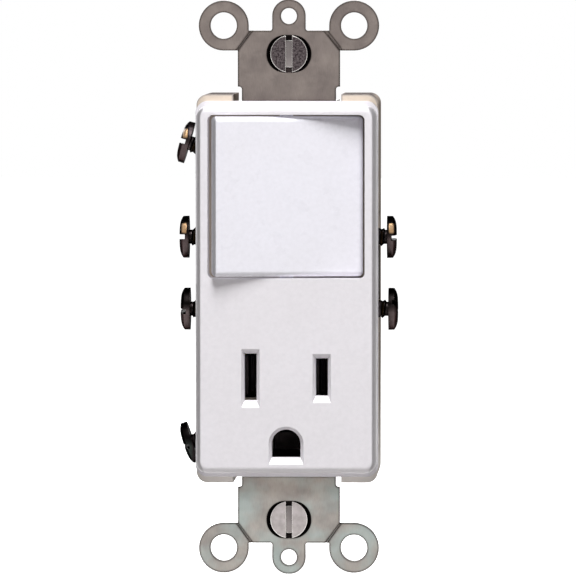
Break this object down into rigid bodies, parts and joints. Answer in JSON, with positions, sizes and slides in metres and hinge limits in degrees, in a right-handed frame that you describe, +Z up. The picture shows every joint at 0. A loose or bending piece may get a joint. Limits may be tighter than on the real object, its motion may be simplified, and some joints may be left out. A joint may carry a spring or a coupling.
{
  "type": "combination rocker switch and receptacle",
  "caption": "Paddle rocker switch above a grounding outlet in one moulded body, on a steel wrap-round strap with break-off plaster ears and side terminal screws.",
  "frame": {"origin": "midway between the two mounting screws, on the back of the strap where it meets the wall box", "axes": "+Z up along the strap, the switch above the outlet; the face looks along -Y; +X to the right as seen from the front"},
  "size_m": [0.04, 0.0381, 0.1028],
  "materials": {
    "cover_white": "smooth moulded thermoplastic, satin gloss",
    "paddle_white": "smooth moulded thermoplastic, satin gloss",
    "housing_ivory": "moulded thermoplastic, ivory",
    "plunger_nylon": "moulded nylon",
    "strap_zinc": "zinc-plated sheet steel",
    "screw_steel": "zinc-plated steel, rim worn bright",
    "terminal_bronze": "dark bronze-plated steel",
    "ground_green": "steel with a very dark green-black finish",
    "spring_steel": "music wire",
    "brass": "stamped brass strip",
    "contact_brass": "plated brass contact strip",
    "silver_alloy": "silver-alloy contact face",
    "fibre_washer": "pressed fibre"
  },
  "bodies": {
    "device": {"back_housing": "housing_ivory", "front_cover": "cover_white", "mounting_strap": "strap_zinc", "screw_washer_top": "fibre_washer", "screw_washer_bottom": "fibre_washer", "neutral_plate": "brass", "neutral_contact": "contact_brass", "line_bus": "brass", "hot_contact": "contact_brass", "traveller_plate_upper": "brass", "traveller_plate_lower": "brass", "fixed_contact_buttons": "silver_alloy", "ground_contact": "contact_brass", "ground_rivet": "brass", "assembly_screws": "screw_steel"},
    "rocker": {"rocker_paddle": "paddle_white", "plunger": "plunger_nylon", "plunger_spring": "spring_steel"},
    "seesaw": {"seesaw_contact": "brass", "moving_contact_buttons": "silver_alloy"},
    "mounting_screw_top": {"mounting_screw_top": "screw_steel"},
    "mounting_screw_bottom": {"mounting_screw_bottom": "screw_steel"},
    "common_screw": {"common_screw": "terminal_bronze"},
    "hot_screw": {"hot_screw": "terminal_bronze"},
    "traveller_screw_upper": {"traveller_screw_upper": "terminal_bronze"},
    "traveller_screw_lower": {"traveller_screw_lower": "terminal_bronze"},
    "neutral_screw": {"neutral_screw": "terminal_bronze"},
    "ground_screw": {"ground_screw": "ground_green"}
  },
  "joints": [
    {"name": "rocker_tilt", "type": "hinge", "parent": "device", "child": "rocker", "pos_m": [-0.0003, -0.0055, 0.0163], "axis": [0, 0, 1], "range_deg": [-18, 0]},
    {"name": "seesaw_tilt", "type": "hinge", "parent": "device", "child": "seesaw", "pos_m": [-0.0003, 0.01144, 0.0163], "axis": [0, 0, 1], "range_deg": [0, 12]},
    {"name": "common_screw_travel", "type": "slide", "parent": "device", "child": "common_screw", "axis": [-1, 0, 0], "range_m": [0, 0.0034]},
    {"name": "hot_screw_travel", "type": "slide", "parent": "device", "child": "hot_screw", "axis": [-1, 0, 0], "range_m": [0, 0.00365]},
    {"name": "traveller_screw_lower_travel", "type": "slide", "parent": "device", "child": "traveller_screw_lower", "axis": [1, 0, 0], "range_m": [0, 0.0037]},
    {"name": "neutral_screw_travel", "type": "slide", "parent": "device", "child": "neutral_screw", "axis": [1, 0, 0], "range_m": [0, 0.0035]},
    {"name": "traveller_screw_upper_travel", "type": "slide", "parent": "device", "child": "traveller_screw_upper", "axis": [0.9613, 0, -0.2756], "range_m": [0, 0.0037]},
    {"name": "ground_screw_travel", "type": "slide", "parent": "device", "child": "ground_screw", "axis": [0.9511, 0, 0.309], "range_m": [0, 0.00235]},
    {"name": "mounting_screw_top_turn", "type": "hinge", "parent": "device", "child": "mounting_screw_top", "pos_m": [0, 0, 0.04165], "axis": [0, 1, 0], "continuous": true},
    {"name": "mounting_screw_bottom_turn", "type": "hinge", "parent": "device", "child": "mounting_screw_bottom", "pos_m": [0, 0, -0.04165], "axis": [0, 1, 0], "continuous": true}
  ],
  "couplings": [
    {"joint": "seesaw_tilt", "follows": "rocker_tilt", "ratio": -0.6666}
  ]
}
